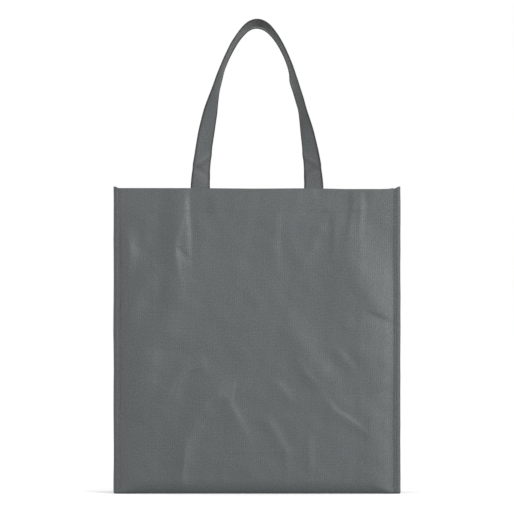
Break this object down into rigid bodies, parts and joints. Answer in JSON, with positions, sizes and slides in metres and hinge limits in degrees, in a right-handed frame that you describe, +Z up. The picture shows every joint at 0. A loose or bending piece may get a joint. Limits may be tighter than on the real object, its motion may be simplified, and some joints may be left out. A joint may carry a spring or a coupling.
{
  "type": "gusseted shopping tote bag",
  "caption": "Open-topped cloth shopping bag with side gussets, taped seams, a turned-in hem and strap handles; it folds flat.",
  "frame": {"origin": "on the floor, under the middle of the folded base", "axes": "+Z up through the mouth, -Y out of the front panel, +X to the right as seen from the front"},
  "size_m": [0.381, 0.1412, 0.6295],
  "materials": {
    "cloth": "matt grey non-woven cloth with a fine embossed grain",
    "tape": "matt grey non-woven binding tape",
    "strap": "matt grey folded strap, stitched along both edges",
    "thread": "grey sewing thread"
  },
  "bodies": {
    "front": {"front_panel": "cloth", "front_left_tape": "tape", "front_right_tape": "tape", "front_left_strap_end": "strap", "front_right_strap_end": "strap", "front_hem_thread": "thread", "front_left_tape_thread": "thread", "front_right_tape_thread": "thread", "front_left_strap_thread": "thread", "front_right_strap_thread": "thread", "base_left_corner": "cloth", "base_right_corner": "cloth"},
    "back": {"back_panel": "cloth", "back_left_tape": "tape", "back_right_tape": "tape", "back_left_strap_end": "strap", "back_right_strap_end": "strap", "back_hem_thread": "thread", "back_left_tape_thread": "thread", "back_right_tape_thread": "thread", "back_left_strap_thread": "thread", "back_right_strap_thread": "thread"},
    "left_gusset_front": {"left_gusset_front": "cloth", "left_gusset_front_thread": "thread"},
    "left_gusset_back": {"left_gusset_back": "cloth", "left_gusset_back_thread": "thread"},
    "right_gusset_front": {"right_gusset_front": "cloth", "right_gusset_front_thread": "thread"},
    "right_gusset_back": {"right_gusset_back": "cloth", "right_gusset_back_thread": "thread"},
    "base_front": {"base_front": "cloth"},
    "base_back": {"base_back": "cloth"},
    "front_handle": {"front_handle": "strap"},
    "back_handle": {"back_handle": "strap"}
  },
  "joints": [
    {"name": "left_front_seam_fold", "type": "hinge", "parent": "front", "child": "left_gusset_front", "pos_m": [-0.1815, -0.0485, 0], "axis": [0, 0, -1], "range_deg": [0, 80], "deforming": ["base_left_corner", "base_right_corner"]},
    {"name": "left_crease_fold", "type": "hinge", "parent": "left_gusset_front", "child": "left_gusset_back", "pos_m": [-0.1815, 0, 0], "axis": [0, 0, -1], "range_deg": [-160, 0]},
    {"name": "left_back_seam_fold", "type": "hinge", "parent": "left_gusset_back", "child": "back", "pos_m": [-0.1815, 0.0485, 0], "axis": [0, 0, -1], "range_deg": [0, 80]},
    {"name": "right_front_seam_fold", "type": "hinge", "parent": "front", "child": "right_gusset_front", "pos_m": [0.1815, -0.0485, 0], "axis": [0, 0, 1], "range_deg": [0, 80]},
    {"name": "right_crease_fold", "type": "hinge", "parent": "right_gusset_front", "child": "right_gusset_back", "pos_m": [0.1815, 0, 0], "axis": [0, 0, 1], "range_deg": [-160, 0]},
    {"name": "base_front_fold", "type": "hinge", "parent": "front", "child": "base_front", "pos_m": [0, -0.0485, 0], "axis": [1, 0, 0], "range_deg": [0, 80]},
    {"name": "base_crease_fold", "type": "hinge", "parent": "base_front", "child": "base_back", "pos_m": [0, 0, 0], "axis": [1, 0, 0], "range_deg": [-160, 0]},
    {"name": "front_handle_swing", "type": "hinge", "parent": "front", "child": "front_handle", "pos_m": [0, -0.0502, 0.4057], "axis": [1, 0, 0], "range_deg": [0, 160]},
    {"name": "back_handle_swing", "type": "hinge", "parent": "back", "child": "back_handle", "pos_m": [0, 0.0502, 0.4057], "axis": [-1, 0, 0], "range_deg": [0, 160]}
  ],
  "couplings": [
    {"joint": "left_crease_fold", "follows": "left_front_seam_fold", "ratio": -2},
    {"joint": "left_back_seam_fold", "follows": "left_front_seam_fold", "ratio": 1},
    {"joint": "right_front_seam_fold", "follows": "left_front_seam_fold", "ratio": 1},
    {"joint": "right_crease_fold", "follows": "left_front_seam_fold", "ratio": -2},
    {"joint": "base_front_fold", "follows": "left_front_seam_fold", "ratio": 1},
    {"joint": "base_crease_fold", "follows": "left_front_seam_fold", "ratio": -2}
  ]
}
